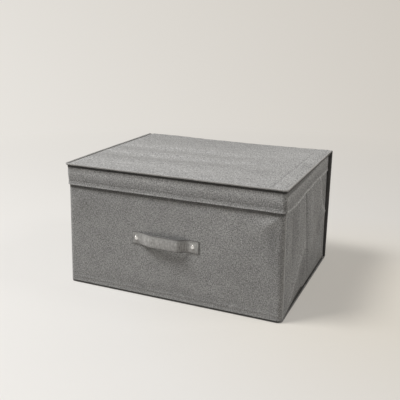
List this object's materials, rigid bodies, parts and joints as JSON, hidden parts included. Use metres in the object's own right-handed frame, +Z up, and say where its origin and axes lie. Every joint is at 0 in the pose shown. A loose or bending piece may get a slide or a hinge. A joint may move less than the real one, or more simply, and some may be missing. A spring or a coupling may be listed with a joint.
{
  "type": "storage box with lid",
  "caption": "Fabric-covered storage box with stiffened walls, creased side gussets, a hinged lid with a skirt, a loose bottom board and a riveted strap handle.",
  "frame": {"origin": "centre of the base piping's outline, on the floor under the box", "axes": "+X to the right along the front, -Y out of the front wall that carries the strap, +Z up"},
  "size_m": [0.45, 0.3636, 0.25],
  "materials": {
    "cover_cloth": "heathered grey woven polyester, linen look, matte",
    "strap_cloth": "the same cloth folded and pressed, a little smoother",
    "dark_tape": "charcoal binding tape, fine rib",
    "lining_cloth": "grey non-woven lining, matte",
    "greyboard": "greyboard, pressed paper, raw",
    "rivet_metal": "nickel-plated steel, polished"
  },
  "bodies": {
    "box": {"front_cover": "cover_cloth", "left_cover": "cover_cloth", "right_cover": "cover_cloth", "back_cover": "cover_cloth", "front_board": "greyboard", "back_board": "greyboard", "left_front_board": "greyboard", "left_rear_board": "greyboard", "right_front_board": "greyboard", "right_rear_board": "greyboard", "front_lining": "lining_cloth", "left_lining": "lining_cloth", "right_lining": "lining_cloth", "back_lining": "lining_cloth", "rim_binding": "dark_tape", "corner_seam_left": "cover_cloth", "corner_seam_right": "cover_cloth", "back_binding_left": "dark_tape", "back_binding_right": "dark_tape", "bottom_cover": "lining_cloth", "base_binding": "dark_tape", "base_piping": "cover_cloth", "handle_strap": "strap_cloth", "handle_rivets": "rivet_metal", "rivet_backs": "rivet_metal", "hinge_strip": "cover_cloth"},
    "lid": {"lid_cover": "cover_cloth", "lid_board": "greyboard", "lid_lining": "lining_cloth", "lid_piping": "cover_cloth", "lid_skirt_front": "cover_cloth", "lid_skirt_left": "cover_cloth", "lid_skirt_right": "cover_cloth"},
    "bottom_insert": {"base_board": "greyboard", "base_board_cover": "lining_cloth"}
  },
  "joints": [
    {"name": "lid_hinge", "type": "hinge", "parent": "box", "child": "lid", "pos_m": [0, 0.175, 0.2492], "axis": [-1, 0, 0], "range_deg": [0, 225], "deforming": ["hinge_strip"]},
    {"name": "bottom_insert_lift", "type": "slide", "parent": "box", "child": "bottom_insert", "axis": [0, 0, 1], "range_m": [0, 0.234]}
  ]
}
